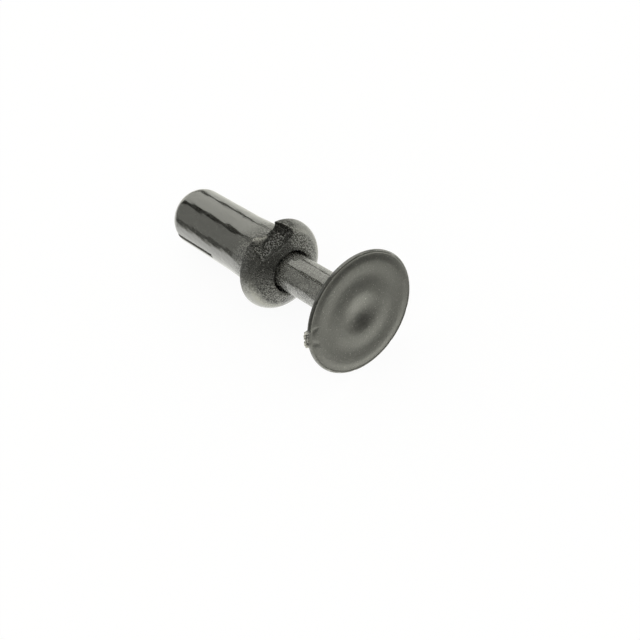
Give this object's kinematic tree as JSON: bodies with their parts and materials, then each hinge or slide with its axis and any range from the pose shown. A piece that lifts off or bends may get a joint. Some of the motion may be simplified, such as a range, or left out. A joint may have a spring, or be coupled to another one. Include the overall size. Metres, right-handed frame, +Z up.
{
  "type": "plastic push rivet",
  "caption": "Two-piece plastic push rivet lying on its side: a slit sleeve with a coned collar and pry scoop, and a wide-headed plunger drawn out of its bore.",
  "frame": {"origin": "on the ground, under the middle of the rivet as it lies: halfway along X, below the rivet's own axis", "axes": "+Z up; +X the way the plunger's head faces, level with the ground; the rivet's own axis lies in the XZ plane and leans 6.9 degrees, nose down, because the head is wider than the barrel"},
  "size_m": [0.0294, 0.0127, 0.0127],
  "materials": {
    "sleeve_nylon": "black nylon, spark-eroded grain on the collar and the barrel's root, smooth legs",
    "plunger_nylon": "black nylon, satin head face and smooth shank"
  },
  "bodies": {
    "sleeve_body": {"sleeve": "sleeve_nylon"},
    "plunger_body": {"plunger": "plunger_nylon"}
  },
  "joints": [
    {"name": "plunger_slide", "type": "slide", "parent": "sleeve_body", "child": "plunger_body", "axis": [-0.9928, 0, -0.1197], "range_m": [0, 0.00937]}
  ]
}
